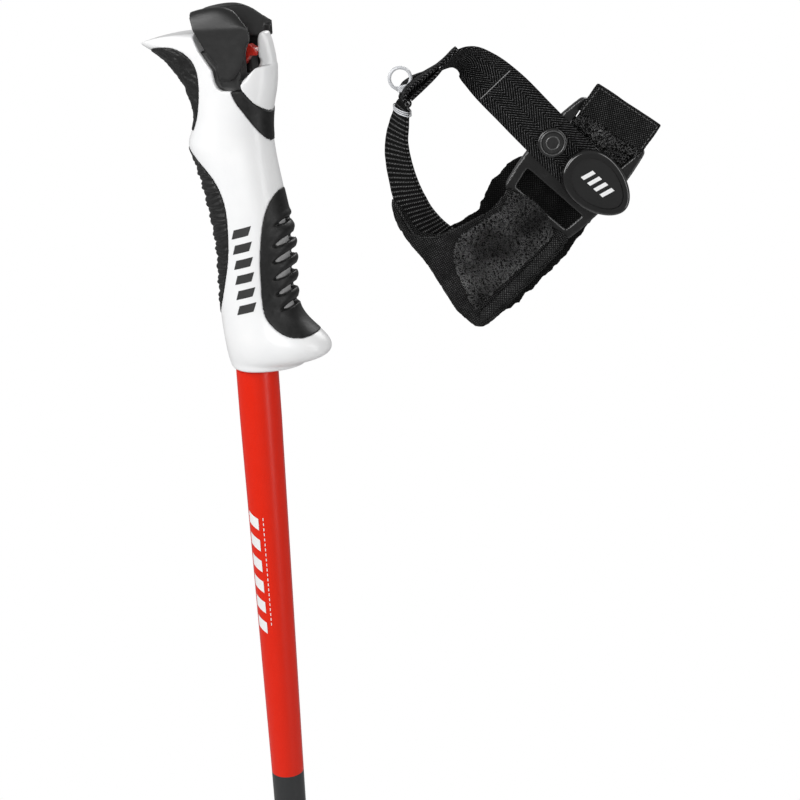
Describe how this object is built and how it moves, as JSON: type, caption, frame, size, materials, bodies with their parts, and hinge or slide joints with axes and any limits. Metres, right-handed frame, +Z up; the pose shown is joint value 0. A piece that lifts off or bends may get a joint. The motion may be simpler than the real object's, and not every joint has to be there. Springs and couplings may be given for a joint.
{
  "type": "ski pole",
  "caption": "Alpine ski pole: tapered shaft, beaked grip with padded inlays, spring release cap over a strap hook, and a separate hand strap with buckle.",
  "frame": {"origin": "lowest point of the carbide tip, on the shaft axis", "axes": "+Z up the shaft, -X towards the beak and fingers, +X towards the palm"},
  "size_m": [0.2037, 0.0863, 1.2001],
  "materials": {
    "shaft_tube": "gloss red paint over aluminium, dark grey lower down",
    "shaft_plug": "moulded black",
    "tip_ferrule": "moulded black",
    "carbide_tip": "ground carbide",
    "basket": "moulded black",
    "basket_collar": "moulded dark grey",
    "grip_core": "light grey moulding",
    "grip_shell": "soft gloss white",
    "beak_pad": "soft black rubber, wrinkled",
    "finger_pad": "soft black rubber, ribbed",
    "palm_pad": "soft black rubber with open ribs",
    "web_pad": "soft black rubber",
    "hook_horn": "soft gloss white",
    "horn_pin": "plain pin",
    "cap_stop_pin": "plain pin",
    "latch_pin": "plain pin",
    "cap_spring": "spring wire",
    "release_cap": "dark grey soft touch",
    "latch": "red",
    "swivel_pin": "plain pin",
    "pin_fold": "folded black webbing",
    "thumb_webbing": "herringbone black webbing",
    "thumb_band": "ribbed black elastic",
    "wrist_band": "black woven shell",
    "band_lining": "padded black lining",
    "loop_patch": "black brushed loop pile",
    "band_binding": "grey-black woven tape",
    "buckle_frame": "moulded black",
    "badge_cap": "polished black",
    "badge_insert": "satin black with a plain emblem",
    "badge_rivet": "rivet",
    "snap_cap": "black lacquer",
    "snap_button": "black lacquer, embossed",
    "snap_post": "rivet",
    "clip_loop": "silver-white cord loop",
    "wrist_tab": "black woven strap end",
    "hook_patch": "black hook tape"
  },
  "bodies": {
    "pole": {"shaft_tube": "shaft_tube", "shaft_plug": "shaft_plug", "tip_ferrule": "tip_ferrule", "carbide_tip": "carbide_tip", "basket": "basket", "basket_collar": "basket_collar", "grip_core": "grip_core", "grip_shell": "grip_shell", "beak_pad": "beak_pad", "finger_pad": "finger_pad", "palm_pad": "palm_pad", "web_pad": "web_pad", "hook_horn": "hook_horn", "horn_pin": "horn_pin", "cap_stop_pin": "cap_stop_pin", "latch_pin": "latch_pin", "cap_spring": "cap_spring"},
    "cap": {"release_cap": "release_cap"},
    "latch": {"latch": "latch"},
    "swivel": {"swivel_pin": "swivel_pin"},
    "strap": {"pin_fold": "pin_fold", "thumb_webbing": "thumb_webbing", "thumb_band": "thumb_band", "wrist_band": "wrist_band", "band_lining": "band_lining", "loop_patch": "loop_patch", "band_binding": "band_binding", "buckle_frame": "buckle_frame", "badge_cap": "badge_cap", "badge_insert": "badge_insert", "badge_rivet": "badge_rivet", "snap_cap": "snap_cap", "snap_button": "snap_button", "snap_post": "snap_post"},
    "clip": {"clip_loop": "clip_loop"},
    "tab": {"wrist_tab": "wrist_tab", "hook_patch": "hook_patch"}
  },
  "joints": [
    {"name": "cap_press", "type": "slide", "parent": "pole", "child": "cap", "axis": [0, 0, -1], "range_m": [0, 0.003], "stiffness_N_per_m": 2500, "springref_m": -0.001, "deforming": ["cap_spring"]},
    {"name": "latch_swing", "type": "hinge", "parent": "pole", "child": "latch", "pos_m": [0.0025, 0, 1.1781], "axis": [0, -1, 0], "range_deg": [0, 30]},
    {"name": "strap_reach", "type": "slide", "parent": "pole", "child": "swivel", "axis": [-0.8454, -0.3765, 0.3789], "range_m": [0, 0.04882]},
    {"name": "strap_swing", "type": "hinge", "parent": "swivel", "child": "strap", "pos_m": [0.06538, 0.01838, 1.1596], "axis": [0.4067, -0.9135, 0], "range_deg": [0, 25]},
    {"name": "loop_swing", "type": "hinge", "parent": "swivel", "child": "clip", "pos_m": [0.06538, 0.01838, 1.1596], "axis": [-0.5584, -0.7129, 0.4242], "range_deg": [0, 102.67]},
    {"name": "tab_peel", "type": "hinge", "parent": "strap", "child": "tab", "pos_m": [0.13997, 0.04458, 1.136], "axis": [0.7383, 0.3287, -0.5889], "range_deg": [0, 60]}
  ],
  "couplings": [
    {"joint": "latch_swing", "follows": "cap_press", "rad_per_m": 174.36},
    {"joint": "strap_swing", "follows": "strap_reach", "rad_per_m": 8.9286}
  ]
}
